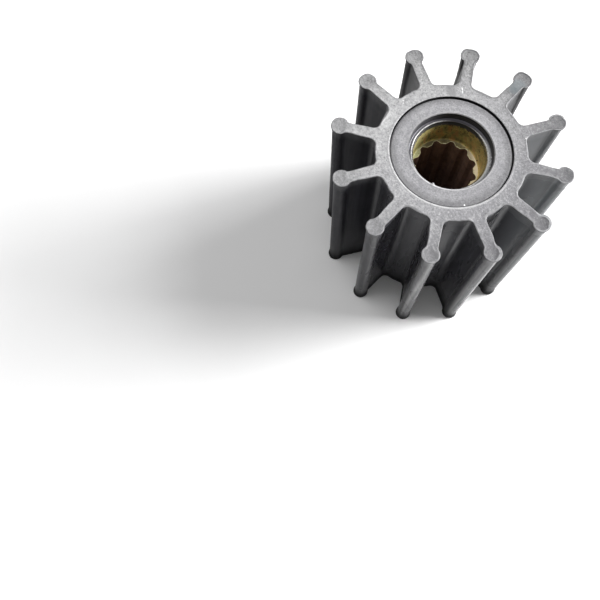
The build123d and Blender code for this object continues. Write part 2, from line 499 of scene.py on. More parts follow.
        if EYE_R - 0.01 <= r < 12.0 and z > INS_Z1 + 0.5:
            off = 0.26 * np.maximum(0.0, np.cos(th - math.radians(142))) ** 0.6 * smooth((12.1 - r) / 0.7)
            p[:, 0] -= np.cos(th) * off
            p[:, 1] -= np.sin(th) * off
        # a small burr on the rim of the eye
        if 11.2 < r < 11.8 and z > zl - 0.4:
            burr = np.exp(-((np.degrees(th) - 134.5) / 2.0) ** 2)
            p[:, 0] -= np.cos(th) * burr * 0.42
            p[:, 1] -= np.sin(th) * burr * 0.42
            p[:, 2] += burr * 0.16
        cur = add(p, np.zeros((NH, 4)))
        a2, b2 = np.roll(prev, -1), np.roll(cur, -1)
        for i in range(NH):
            F.append((prev[i], a2[i], b2[i], cur[i]))
            M.append(mat)
        prev = cur
    # last ring to the hole of the lower face
    a2, b2 = np.roll(prev, -1), np.roll(low_hole, -1)
    for i in range(NH):
        F.append((prev[i], a2[i], b2[i], low_hole[i]))
        M.append(1)

    V_ = np.vstack(V)
    V_[:, 2] = np.clip(V_[:, 2], 0.0, H)
    return link("impeller_rubber", V_, F, [mat_face, mat_side, mat_land, mat_groove, mat_eye], M, np.vstack(K))


# --- brass insert ------------------------------------------------------------------
def spline_radius(th):
    """Radius of the splined opening at each angle, corners rounded."""
    def raw(deg):
        ph = np.abs((deg - TOOTH_PHASE + 180 / TEETH) % (360 / TEETH) - 180 / TEETH)
        t = np.clip((ph - 5.2) / (12.2 - 5.2), 0, 1)
        return TOOTH_TIP_R + (TOOTH_ROOT_R - TOOTH_TIP_R) * t
    out = np.zeros_like(th)
    w = 0.0
    for d in np.linspace(-1.9, 1.9, 13):
        g = math.exp(-(d / 1.05) ** 2)
        out += g * raw(np.degrees(th) + d)
        w += g
    return out / w


def build_insert(mats):
    NA = 720
    th = np.linspace(0, 2 * math.pi, NA, endpoint=False)
    sp = spline_radius(th)
    c, s = np.cos(th), np.sin(th)
    rings = []       # (radius array, z array, material)

    def ring(r, z, mat):
        rings.append((np.broadcast_to(np.asarray(r, float), (NA,)).copy(), np.broadcast_to(np.asarray(z, float), (NA,)).copy(), mat))

    z1 = INS_Z1
    ring(R_INS - 0.02, INS_Z0 + 0.2, 0)
    ring(R_INS - 0.02, z1 - 0.2, 0)
    ring(R_INS - 0.2, z1 - 0.02, 0)
    ring(11.6, z1 - 0.02, 1)
    # turned end face: fine concentric steps
    for r, dz in ((11.35, -0.02), (11.24, 0.0), (11.17, 0.02), (11.08, 0.02), (11.01, -0.03), (10.94, -0.09), (10.82, -0.10),
                  (10.74, -0.09), (10.67, -0.03), (10.58, -0.02), (10.50, -0.02)):
        ring(r, z1 - 0.02 + dz, 1)
    # narrow bright land round the mouth of the bore
    for r, dz in ((10.46, -0.01), (10.42, 0.02), (10.36, 0.042), (10.30, 0.045), (10.24, 0.02), (10.19, -0.03)):
        ring(r, z1 + dz - 0.045, 2)
    # relief under it, then the plain bore
    for r, dz in ((10.15, -0.12), (10.12, -0.24), (10.08, -0.42), (10.00, -0.54), (9.88, -0.64), (9.79, -0.74), (9.73, -0.84), (9.68, -0.95),
                  (9.66, -1.05)):
        ring(r, z1 + dz, 3)
    zb = z1 - 1.05
    n = 14
    for i in range(1, n):
        ring(9.65, zb + (BORE_Z + 0.55 - zb) * i / n, 3)
    for r, dz in ((9.65, 0.55), (9.62, 0.38), (9.55, 0.24), (9.45, 0.13), (9.33, 0.055)):
        ring(r, BORE_Z + dz, 3)
    for t in (0.12, 0.35, 0.60, 0.82):
        ring(9.28 + (sp + 0.24 - 9.28) * t, BORE_Z + 0.02 * (1 - t), 4)
    ring(sp + 0.24, BORE_Z, 4)
    ring(sp + 0.16, BORE_Z + 0.015, 4)
    ring(sp + 0.10, BORE_Z + 0.025, 6)
    ring(sp + 0.04, BORE_Z + 0.005, 6)
    ring(sp, BORE_Z - 0.06, 6)
    ring(sp, BORE_Z - 0.12, 5)
    zs = BORE_Z - 0.10
    n = 22
    for i in range(1, n):
        ring(sp, zs + (INS_Z0 + 0.30 - zs) * (i / n), 5)
    ring(sp, INS_Z0 + 0.30, 5)
    ring(sp + 0.08, INS_Z0 + 0.10, 5)
    ring(sp + 0.25, INS_Z0 + 0.02, 1)
    for t in (0.35, 0.7):
        ring((sp + 0.25) * (1 - t) + 11.2 * t, INS_Z0 + 0.02, 1)
    ring(11.6, INS_Z0 + 0.02, 1)
    ring(R_INS - 0.2, INS_Z0 + 0.02, 0)

    V, F, M = [], [], []
    for j, (r, z, mat) in enumerate(rings):
        p = np.c_[r * c, r * s, z]
        if mat == 3:
            w = 0.018 * n3(p * [1, 1, 0.7], 0.8, 2.0)
        elif mat in (4,):
            w = 0.03 * n3(p, 0.9, 14.0)
            p[:, 2] += 0.05 * n3(p, 0.7, 17.0)
        elif mat == 5:
            w = 0.04 * n3(p * [1, 1, 0.1], 0.6, 19.0)
        else:
            w = 0.0 * r
        p[:, 0] += c * w
        p[:, 1] += s * w
        V.append(p)
    nr = len(rings)
    for j in range(nr):
        a0, b0 = j * NA, ((j + 1) % nr) * NA
        mat = rings[(j + 1) % nr][2] if (j + 1) < nr else 0
        for i in range(NA):
            i2 = (i + 1) % NA
            F.append((a0 + i, a0 + i2, b0 + i2, b0 + i))
            M.append(mat)
    V = np.vstack(V)
    return link("impeller_insert", V, F, mats, M)


# --- materials ----------------------------------------------------------------------
class Nodes:
    """Short way to write a node tree."""

    def __init__(self, name):
        self.mat = bpy.data.materials.new(name)
        self.mat.use_nodes = True
        self.nt = self.mat.node_tree
        self.nt.nodes.clear()
        self.out = self.nt.nodes.new("ShaderNodeOutputMaterial")
        self.bsdf = self.nt.nodes.new("ShaderNodeBsdfPrincipled")
        self.nt.links.new(self.bsdf.outputs[0], self.out.inputs[0])
        tc = self.nt.nodes.new("ShaderNodeTexCoord")
        vm = self.nt.nodes.new("ShaderNodeVectorMath")
        vm.operation = "SCALE"
        vm.inputs["Scale"].default_value = 1000.0
        self.nt.links.new(tc.outputs["Object"], vm.inputs[0])
        self.mm = vm.outputs[0]                 # object coordinates in millimetres

    def link(self, a, b):
        self.nt.links.new(a, b)

    def scaled(self, sx, sy, sz):
        n = self.nt.nodes.new("ShaderNodeVectorMath")
        n.operation = "MULTIPLY"
        n.inputs[1].default_value = (sx, sy, sz)
        self.link(self.mm, n.inputs[0])
        return n.outputs[0]

    def noise(self, scale, detail=2.0, rough=0.5, vec=None, dist=0.0):
        n = self.nt.nodes.new("ShaderNodeTexNoise")
        n.inputs["Scale"].default_value = scale
        n.inputs["Detail"].default_value = detail
        n.inputs["Roughness"].default_value = rough
        n.inputs["Distortion"].default_value = dist
        self.link(vec if vec is not None else self.mm, n.inputs["Vector"])
        return n.outputs["Fac"]

    def ramp(self, fac, stops, interp="LINEAR"):
        n = self.nt.nodes.new("ShaderNodeValToRGB")
        n.color_ramp.interpolation = interp
        e = n.color_ramp.elements
        while len(e) > 1:
            e.remove(e[-1])
        e[0].position = stops[0][0]
        e[0].color = self.rgba(stops[0][1])
        for pos, col in stops[1:]:
            x = e.new(pos)
            x.color = self.rgba(col)
        self.link(fac, n.inputs[0])
        return n.outputs[0]

    @staticmethod
    def rgba(c):
        return (c, c, c, 1) if isinstance(c, (int, float)) else (*c, 1)

    def math(self, op, a, b=None, c=None, clamp=False):
        n = self.nt.nodes.new("ShaderNodeMath")
        n.operation = op
        n.use_clamp = clamp
        for i, x in enumerate((a, b, c)):
            if x is None:
                continue
            if isinstance(x, (int, float)):
                n.inputs[i].default_value = x
            else:
                self.link(x, n.inputs[i])
        return n.outputs[0]

    def mix(self, fac, a, b, blend="MIX"):
        n = self.nt.nodes.new("ShaderNodeMix")
        n.data_type = "RGBA"
        n.blend_type = blend
        for i, x in ((0, fac), (6, a), (7, b)):
            if isinstance(x, (int, float)) and i == 0:
                n.inputs[0].default_value = x
            elif isinstance(x, (int, float, tuple)):
                n.inputs[i].default_value = self.rgba(x)
            else:
                self.link(x, n.inputs[i])
        return n.outputs[2]

    def mask(self):
        n = self.nt.nodes.new("ShaderNodeAttribute")
        n.attribute_name = "mask"
        s = self.nt.nodes.new("ShaderNodeSeparateColor")
        self.link(n.outputs["Color"], s.inputs[0])
        return s.outputs[0], s.outputs[1], s.outputs[2], n.outputs["Alpha"]

    def xyz(self):
        s = self.nt.nodes.new("ShaderNodeSeparateXYZ")
        self.link(self.mm, s.inputs[0])
        return s.outputs

    def radius(self):
        x, y, z = self.xyz()
        return self.math("SQRT", self.math("ADD", self.math("MULTIPLY", x, x), self.math("MULTIPLY", y, y)))

    def field(self, az, slope, offset, clamp=False):
        """offset + slope * (mm along azimuth az)"""
        x, y, _ = self.xyz()
        a = math.radians(az)
        t = self.math("MULTIPLY_ADD", x, slope * math.cos(a), offset)
        return self.math("MULTIPLY_ADD", y, slope * math.sin(a), t, clamp=clamp)

    def times(self, color, fac):
        """A colour multiplied by a number."""
        n = self.nt.nodes.new("ShaderNodeVectorMath")
        n.operation = "SCALE"
        self.link(color, n.inputs[0])
        self.link(fac, n.inputs["Scale"])
        return n.outputs[0]

    def spot(self, x, y, z, radius, soft=0.35, wobble=0.0):
        """1 inside a small blob at a point (mm), 0 outside."""
        n = self.nt.nodes.new("ShaderNodeVectorMath")
        n.operation = "DISTANCE"
        n.inputs[1].default_value = (x, y, z)
        self.link(self.mm, n.inputs[0])
        d = n.outputs["Value"]
        if wobble:
            d = self.math("MULTIPLY_ADD", self.math("SUBTRACT", self.noise(1.9, 3, 0.7), 0.5), wobble, d)
        r = self.math("SUBTRACT", 1.0, self.math("DIVIDE", self.math("SUBTRACT", d, radius), soft * radius), clamp=True)
        return r

    def stripe(self, hi, lo, wide):
        """1 along a line from point lo at z = 16 mm to hi at z = 48 mm, fading out at the given distance."""
        x, y, z = self.xyz()
        off = []
        for v, h, l in ((x, hi[0], lo[0]), (y, hi[1], lo[1])):
            slope = (h - l) / 32.0
            off.append(self.math("ADD", self.math("MULTIPLY_ADD", z, -slope, v), 16.0 * slope - l))
        d = self.math("SQRT", self.math("ADD", self.math("MULTIPLY", off[0], off[0]), self.math("MULTIPLY", off[1], off[1])))
        d = self.math("MULTIPLY_ADD", self.math("SUBTRACT", self.noise(0.8, 3, 0.6, vec=self.scaled(1, 1, 0.12)), 0.5), 0.9 * wide, d)
        return self.math("SUBTRACT", 1.0, self.math("DIVIDE", d, wide), clamp=True)

    def bump(self, height, strength, distance, normal=None):
        n = self.nt.nodes.new("ShaderNodeBump")
        n.inputs["Strength"].default_value = strength
        n.inputs["Distance"].default_value = distance
        self.link(height, n.inputs["Height"])
        if normal is not None:
            self.link(normal, n.inputs["Normal"])
        return n.outputs[0]

    def set(self, **kw):
        for name, x in kw.items():
            key = {"color": "Base Color", "rough": "Roughness", "metal": "Metallic", "spec": "Specular IOR Level",
                   "ior": "IOR", "normal": "Normal", "sheen": "Sheen Weight", "sheen_rough": "Sheen Roughness",
                   "coat": "Coat Weight", "coat_rough": "Coat Roughness", "aniso": "Anisotropic"}[name]
            if isinstance(x, (int, float)):
                self.bsdf.inputs[key].default_value = x
            elif isinstance(x, tuple):
                self.bsdf.inputs[key].default_value = (*x, 1)
            else:
                self.link(x, self.bsdf.inputs[key])
        return self.mat


def at(r, az):
    a = math.radians(az)
    return r * math.cos(a), r * math.sin(a)


def mat_face():
    """Trimmed end face: pale, dusty, finely speckled."""
    m = Nodes("rubber_end_face")
    rim, bead, _, _ = m.mask()
    x, y, z = m.xyz()
    r = m.radius()
    big = m.noise(0.16, 2, 0.5)
    mid = m.noise(0.9, 4, 0.65)
    fine = m.noise(2.0, 4, 0.70)
    grit = m.noise(3.1, 3, 0.6)
    base = m.ramp(mid, [(0.32, (0.335, 0.335, 0.337)), (0.50, (0.415, 0.415, 0.417)), (0.68, (0.485, 0.485, 0.486))])
    col = m.mix(m.ramp(big, [(0.35, 0.0), (0.65, 0.35)]), base, (0.37, 0.368, 0.38))
    # painted light: paler towards 25 degrees and a darker, cooler grey towards 205 degrees, the fall of light across
    # the face
    col = m.mix(m.field(25, -0.019, 0.40, clamp=True), col, (0.245, 0.241, 0.259))
    # speckle: small pale grains and darker pits
    col = m.mix(m.ramp(fine, [(0.36, 0.78), (0.47, 0.0)]), col, (0.190, 0.190, 0.197))
    col = m.mix(m.ramp(fine, [(0.53, 0.0), (0.66, 0.66)]), col, (0.60, 0.60, 0.602))
    col = m.mix(m.ramp(grit, [(0.64, 0.0), (0.70, 0.75)]), col, (0.68, 0.68, 0.68))
    col = m.mix(m.ramp(grit, [(0.30, 0.65), (0.36, 0.0)]), col, (0.14, 0.14, 0.145))
    col = m.mix(m.math("MULTIPLY", bead, 0.30), col, (0.235, 0.235, 0.242))
    cut = m.noise(1.1, 4, 0.7, vec=m.scaled(0.35, 1.5, 1), dist=0.6)
    col = m.mix(m.ramp(cut, [(0.33, 0.45), (0.42, 0.0)]), col, (0.20, 0.20, 0.206))
    col = m.mix(m.ramp(cut, [(0.58, 0.0), (0.68, 0.40)]), col, (0.60, 0.60, 0.602))
    rim_f = m.math("MULTIPLY", rim, m.ramp(m.noise(0.9, 2, 0.5), [(0.46, 0.0), (0.68, 0.75)]))
    col = m.mix(rim_f, col, (0.58, 0.58, 0.585))
    # bare dark rubber showing here and there round the tips; painted shade darkens the rim all round them on the far
    # side, and the tips are darker in patches towards 350 degrees
    bare = m.math("MULTIPLY", rim, bead)
    col = m.mix(m.math("MULTIPLY", bare, m.ramp(m.noise(1.5, 3, 0.65), [(0.48, 0.0), (0.58, 0.8)])), col, (0.085, 0.085, 0.088))
    col = m.mix(m.math("MULTIPLY", rim, m.field(318, 0.040, -0.30, clamp=True)), col, (0.085, 0.085, 0.09))
    darker_patches = m.ramp(m.noise(1.3, 4, 0.7, dist=1.5), [(0.38, 0.75), (0.47, 0.0)])
    col = m.mix(m.math("MULTIPLY", m.math("MULTIPLY", bead, m.field(350, 0.030, 0.0, clamp=True)), darker_patches), col, (0.12, 0.12, 0.125))
    # rubbed paler and grainier on one part of the hub
    chalk = m.ramp(m.noise(1.5, 3, 0.7), [(0.44, 0.0), (0.58, 0.55)])
    col = m.mix(m.math("MULTIPLY", chalk, m.spot(14.4, 13.9, H - 0.05, 2.0, 0.9, 0.8)), col, (0.62, 0.62, 0.62))
    # raised rim beside the groove, painted pale as a highlight, most of all on the side towards 150 degrees
    ring = m.math("SUBTRACT", 1.0, m.math("MULTIPLY", m.math("ABSOLUTE", m.math("SUBTRACT", r, GROOVE_RO + 0.36)), 2.6), clamp=True)
    ring = m.math("MULTIPLY", ring, m.field(150, 0.055, 0.10, clamp=True))
    ring = m.math("MULTIPLY", ring, m.ramp(m.noise(1.1, 3, 0.6), [(0.32, 0.55), (0.55, 1.0)]))
    col = m.mix(ring, col, (0.66, 0.66, 0.662))
    # darker towards the tips, paler near the hub
    col = m.times(col, m.math("MULTIPLY_ADD", m.math("SUBTRACT", r, 18.0), -0.0176, 0.81))
    # painted light: paler towards 68 degrees
    col = m.times(col, m.field(68, 0.0060, 1.0))
    # smudges and nicks
    for (px, py), rad, f, c in ((at(18.3, -19.5), 1.05, 0.62, (0.20, 0.20, 0.205)), (at(17.2, -20.5), 0.75, 0.62, (0.20, 0.20, 0.205)),
                                (at(19.2, -17.8), 0.55, 0.62, (0.20, 0.20, 0.205)), (at(20.0, -24.6), 0.30, 0.55, 0.16),
                                (at(18.0, -29.2), 0.12, 0.85, 0.85), (at(18.5, -29.0), 0.12, 0.85, 0.85), (at(19.0, -28.6), 0.12, 0.85, 0.85),
                                (at(19.4, -28.2), 0.12, 0.85, 0.85), (at(27.4, -29.0), 0.22, 0.8, 0.09),
                                (at(27.6, 299.6), 1.55, 0.60, (0.150, 0.172, 0.183)), (at(25.7, 299.3), 0.85, 0.72, (0.112, 0.130, 0.140)),
                                (at(21.4, 295.0), 0.10, 0.55, 0.12), (at(22.0, 295.4), 0.10, 0.55, 0.12), (at(22.6, 295.8), 0.10, 0.55, 0.12),
                                (at(23.2, 296.2), 0.10, 0.55, 0.12), (at(30.6, 330.5), 1.1, 0.35, 0.19),
                                (at(20.5, 263.5), 0.14, 0.85, 0.85), (at(20.2, 263.9), 0.12, 0.85, 0.85), (at(20.8, 125.0), 0.14, 0.8, 0.75),
                                (at(19.3, 22.6), 0.13, 0.7, 0.80), (at(18.7, 24.2), 0.12, 0.7, 0.80),
                                (at(31.2, 331.5), 0.22, 0.8, 0.08), (at(30.6, 331.9), 0.16, 0.8, 0.08), (at(29.9, 332.2), 0.18, 0.8, 0.08),
                                (at(30.4, 269.0), 0.12, 0.8, 0.06), (at(31.2, 270.8), 0.12, 0.8, 0.06), (at(30.6, 300.6), 0.13, 0.8, 0.07),
                                (at(31.0, 299.2), 0.12, 0.8, 0.07)):
        col = m.mix(m.math("MULTIPLY", m.spot(px, py, H - 0.05, rad, 0.7, 1.6 * min(rad, 0.6)), f), col, c)
    h = m.math("ADD", m.math("MULTIPLY", mid, 0.6), m.math("MULTIPLY", fine, 0.6))
    nrm = m.bump(h, 0.6, 0.00014)
    return m.set(color=col, rough=m.ramp(mid, [(0.3, 0.86), (0.7, 0.74)]), spec=0.35, normal=nrm)


def mat_land():
    """Smoother ring inside the groove, with faint turning marks."""
    m = Nodes("rubber_inner_land")
    r = m.radius()
    x, y, z = m.xyz()
    big = m.noise(0.2, 2, 0.5)
    mid = m.noise(0.9, 4, 0.6)
    fine = m.noise(2.2, 3, 0.65)
    rings = m.nt.nodes.new("ShaderNodeTexNoise")
    rings.noise_dimensions = "1D"
    rings.inputs["Scale"].default_value = 3.2
    rings.inputs["Detail"].default_value = 2.0
    m.link(r, rings.inputs["W"])
    col = m.ramp(mid, [(0.3, (0.235, 0.232, 0.244)), (0.7, (0.375, 0.372, 0.384))])
    col = m.mix(m.ramp(rings.outputs["Fac"], [(0.4, 0.0), (0.75, 0.30)]), col, (0.39, 0.388, 0.398))
    col = m.mix(m.ramp(big, [(0.4, 0.0), (0.7, 0.5)]), col, (0.265, 0.262, 0.279))
    col = m.mix(m.ramp(fine, [(0.36, 0.62), (0.47, 0.0)]), col, (0.165, 0.165, 0.173))
    col = m.mix(m.ramp(fine, [(0.55, 0.0), (0.68, 0.55)]), col, (0.49, 0.49, 0.495))
    # painted light: paler towards 45 degrees
    col = m.times(col, m.field(45, 0.0050, 1.0))
    # paler in the middle and darker towards the outside
    wide = m.math("MULTIPLY", m.math("MULTIPLY_ADD", r, 0.65, -8.97, clamp=True), 0.30)
    col = m.times(col, m.math("SUBTRACT", 0.86, wide))
    # darker and mottled towards the outside on one part of the ring
    darker_patches = m.math("MULTIPLY", m.math("MULTIPLY_ADD", r, 1.4, -20.6, clamp=True), m.field(100, 0.09, -0.75, clamp=True))
    col = m.mix(m.math("MULTIPLY", darker_patches, m.ramp(mid, [(0.40, 0.9), (0.62, 0.35)])), col, (0.205, 0.205, 0.21))
    # painted highlight: a paler lip round the eye, brighter and further in on the side towards 142 degrees
    near = m.field(142, 0.087, 0.0, clamp=True)
    centre = m.math("MULTIPLY_ADD", near, -0.26, 11.66)
    edge = m.math("SUBTRACT", 1.0, m.math("MULTIPLY", m.math("ABSOLUTE", m.math("SUBTRACT", r, centre)), 5.0), clamp=True)
    col = m.mix(m.math("MULTIPLY", edge, m.math("MULTIPLY_ADD", near, 0.55, 0.30)), col, (0.62, 0.62, 0.622))
    # painted shade: darker just inside the eye's edge on the side towards 52 degrees
    inner = m.math("SUBTRACT", 1.0, m.math("MULTIPLY", m.math("SUBTRACT", r, EYE_R + 0.12), 2.6), clamp=True)
    col = m.mix(m.math("MULTIPLY", inner, m.field(52, 0.16, -0.75, clamp=True)), col, (0.070, 0.070, 0.073))
    # painted glint: a small white spot beside the groove
    px, py = at(15.8, 172.4)
    col = m.mix(m.spot(px, py, H - RECESS, 0.17, 0.7, 0.4), col, (0.85, 0.85, 0.85))
    # bare rubber down the shoulder
    depth = m.math("SUBTRACT", H - RECESS - 0.24, z)
    col = m.mix(m.math("MULTIPLY", depth, 4.0, clamp=True), col, (0.022, 0.022, 0.024))
    h = m.math("ADD", m.math("MULTIPLY", mid, 0.4), m.math("MULTIPLY", rings.outputs["Fac"], 0.6))
    return m.set(color=col, rough=m.ramp(mid, [(0.3, 0.70), (0.7, 0.58)]), spec=0.4, normal=m.bump(h, 0.4, 0.00010))


def on_tip(k, turn):
    """Point on the tip of vane k, turned so many degrees round it from straight out."""
    a = math.radians(30 * k)
    b = math.radians(30 * k + turn)
    r = BEAD_R - UNDER_BEAD
    return BEAD_C * math.cos(a) + r * math.cos(b), BEAD_C * math.sin(a) + r * math.sin(b)


# painted reflection streaks down single tips, pale highlights and dark ones: vane, degrees round the tip at z = 48 mm
# and at z = 16 mm, half width in mm, amount and tone
PAINTED_STREAKS = [
    (5, 26, -12, 0.85, 1.0, 0.27), (5, -55, -37, 0.60, 1.0, 0.020), (4, 62, 50, 0.45, 0.7, 0.12), (4, 22, 15, 0.55, 0.6, 0.035),
    (6, 30, 10, 0.60, 0.7, 0.27), (6, -62, -62, 0.60, 0.7, 0.040), (7, -95, -95, 0.80, 0.6, 0.030), (3, 60, 60, 0.6, 0.5, 0.02),
]


def mat_side():
    """Moulded sides: dark charcoal, satin, with lengthwise streaks."""
    m = Nodes("rubber_moulded_side")
    fillet, top, low, crown = m.mask()
    _, _, z = m.xyz()
    foot = m.math("MULTIPLY_ADD", z, -1 / 29.0, 1.0, clamp=True)
    toe = m.math("MULTIPLY_ADD", z, -1 / 7.0, 1.0, clamp=True)
    streak = m.noise(0.8, 3, 0.55, vec=m.scaled(1, 1, 0.05))
    brushed = m.noise(2.3, 3, 0.6, vec=m.scaled(1, 1, 0.03))
    blotch = m.noise(0.35, 3, 0.6)
    fine = m.noise(2.4, 3, 0.6)
    col = m.ramp(streak, [(0.32, (0.0145, 0.0143, 0.0190)), (0.68, (0.0385, 0.0382, 0.0460))])
    # fine specks, mostly on the tips
    some = m.math("MULTIPLY_ADD", crown, 1.6, -0.5, clamp=True)
    col = m.mix(m.math("MULTIPLY", some, m.ramp(fine, [(0.58, 0.0), (0.70, 0.60)])), col, (0.085, 0.085, 0.088))
    col = m.mix(m.math("MULTIPLY", some, m.ramp(fine, [(0.30, 0.6), (0.40, 0.0)])), col, (0.014, 0.014, 0.015))
    col = m.mix(m.ramp(blotch, [(0.42, 0.0), (0.72, 0.35)]), col, (0.048, 0.048, 0.052))
    # painted light: the sides towards 225 degrees, where the light falls, are painted paler grey, with a painted
    # green-blue reflection towards 245 degrees
    lit_side = m.field(225, 0.0205, 0.38, clamp=True)
    reflected_tint = m.field(245, 0.060, -0.75, clamp=True)
    pale = m.mix(reflected_tint, (0.070, 0.0695, 0.0755), (0.150, 0.162, 0.168))
    col = m.mix(m.math("MULTIPLY", lit_side, m.math("MULTIPLY_ADD", reflected_tint, 0.30, 0.65)), col, pale)
    # the far side is darker again, and duller
    far = m.field(322, 0.065, -0.62, clamp=True)
    col = m.mix(far, col, (0.022, 0.022, 0.024))
    # tips rubbed lighter along their crowns, in streaks, with painted light making them paler on the side towards 225
    # degrees and fainter on the far side
    bands = m.noise(0.55, 2, 0.5, vec=m.scaled(1, 1, 0.02))
    rubbed_and_lit = m.math("MULTIPLY", crown, m.ramp(brushed, [(0.34, 0.15), (0.62, 1.0)]))
    rubbed_and_lit = m.math("MULTIPLY", rubbed_and_lit, m.ramp(bands, [(0.36, 0.35), (0.60, 1.30)]))
    rubbed_and_lit = m.math("MULTIPLY", rubbed_and_lit, m.math("MULTIPLY_ADD", lit_side, 0.70, 0.05))
    rubbed_and_lit = m.math("MULTIPLY", rubbed_and_lit, m.math("SUBTRACT", 1.0, m.field(322, 0.055, -0.80, clamp=True)))
    col = m.mix(rubbed_and_lit, col, (0.185, 0.184, 0.188))
    # painted shade: dark down the hollow of each neck
    neck = m.math("SUBTRACT", 1.0, m.math("MULTIPLY", m.math("ABSOLUTE", m.math("SUBTRACT", crown, 0.25)), 4.0), clamp=True)
    col = m.mix(m.math("MULTIPLY", neck, 0.55), col, (0.010, 0.010, 0.011))
    # painted highlights and dark reflections down single tips
    for k, hi, lo, wide, amount, tone in PAINTED_STREAKS:
        col = m.mix(m.math("MULTIPLY", m.stripe(on_tip(k, hi), on_tip(k, lo), wide), amount), col, tone)
    # painted highlight: a paler line down the hollow of each root fillet, fading towards the foot
    hollow = m.math("MULTIPLY", fillet, m.ramp(brushed, [(0.30, 0.35), (0.60, 0.85)]))
    hollow = m.math("MULTIPLY", hollow, m.math("MULTIPLY_ADD", z, 0.020, 0.05))
    col = m.mix(hollow, col, (0.105, 0.104, 0.108))
    # painted shade: darker towards the foot, more on the side towards 198 degrees, and nearly black over the lowest 7
    # mm, where the floor's shade falls, with some dirt; the flash there is black in patches
    near = m.field(198, 0.055, -0.95, clamp=True)
    col = m.mix(m.math("MULTIPLY", foot, m.math("MULTIPLY_ADD", near, 0.50, 0.42)), col, (0.016, 0.016, 0.017))
    col = m.mix(m.math("MULTIPLY", toe, 0.92), col, (0.013, 0.013, 0.014))
    # painted shade: a dark line where the sides turn in under the face
    line = m.math("SUBTRACT", 1.0, m.math("MULTIPLY", m.math("ABSOLUTE", m.math("SUBTRACT", z, H - 0.85)), 2.6), clamp=True)
    col = m.mix(m.math("MULTIPLY", line, 0.55), col, (0.016, 0.016, 0.017))
    col = m.mix(m.math("MULTIPLY", low, m.ramp(m.noise(1.1, 3, 0.6), [(0.42, 0.0), (0.56, 0.9)])), col, (0.014, 0.014, 0.015))
    # the dusty margin of the upper face, worn in patches
    wear = m.ramp(m.noise(0.75, 3, 0.6), [(0.30, 0.40), (0.62, 1.0)])
    col = m.mix(m.math("MULTIPLY", top, wear), col, (0.33, 0.33, 0.336))
    rough = m.ramp(m.noise(0.25, 1, 0.5, vec=m.scaled(1, 1, 0.3)), [(0.3, 0.22), (0.7, 0.31)])
    rough = m.math("MULTIPLY_ADD", m.field(55, 0.05, -0.55, clamp=True), 0.22, rough)
    rough = m.math("MULTIPLY_ADD", fillet, -0.08, rough)
    rough = m.math("MULTIPLY_ADD", far, 0.22, rough)
    rough = m.math("MULTIPLY_ADD", toe, 0.30, rough)
    rough = m.math("MULTIPLY_ADD", top, 0.45, rough)
    rough = m.math("MULTIPLY_ADD", low, 0.25, rough)
    h = m.math("MULTIPLY", crown, m.math("MULTIPLY_ADD", fine, 0.5, streak))
    return m.set(color=col, rough=rough, spec=0.16, normal=m.bump(h, 0.08, 0.00010))


def mat_eye():
    """Turned wall of the eye: dark rubber with fine rings, paler on one side."""
    m = Nodes("rubber_eye_wall")
    _, _, z = m.xyz()
    n = m.noise(0.8, 3, 0.6)
    rings = m.nt.nodes.new("ShaderNodeTexNoise")
    rings.noise_dimensions = "1D"
    rings.inputs["Scale"].default_value = 3.4
    rings.inputs["Detail"].default_value = 2.0
    m.link(z, rings.inputs["W"])
    col = m.ramp(n, [(0.3, (0.020, 0.020, 0.022)), (0.7, (0.034, 0.034, 0.037))])
    col = m.mix(m.ramp(rings.outputs["Fac"], [(0.50, 0.0), (0.62, 0.8)]), col, (0.085, 0.083, 0.095))
    col = m.mix(m.field(212, 0.09, -0.45, clamp=True), col, (0.105, 0.108, 0.108))
    return m.set(color=col, rough=m.ramp(n, [(0.3, 0.5), (0.7, 0.65)]), spec=0.3, normal=m.bump(rings.outputs["Fac"], 0.3, 0.00008))


def mat_groove():
    """Bare rubber down in the groove: nearly black."""
    m = Nodes("rubber_groove")
    n = m.noise(1.2, 3, 0.6)
    col = m.ramp(n, [(0.3, (0.012, 0.012, 0.013)), (0.7, (0.024, 0.024, 0.026))])
    return m.set(color=col, rough=m.ramp(n, [(0.3, 0.6), (0.7, 0.75)]), spec=0.2, normal=m.bump(n, 0.3, 0.00008))


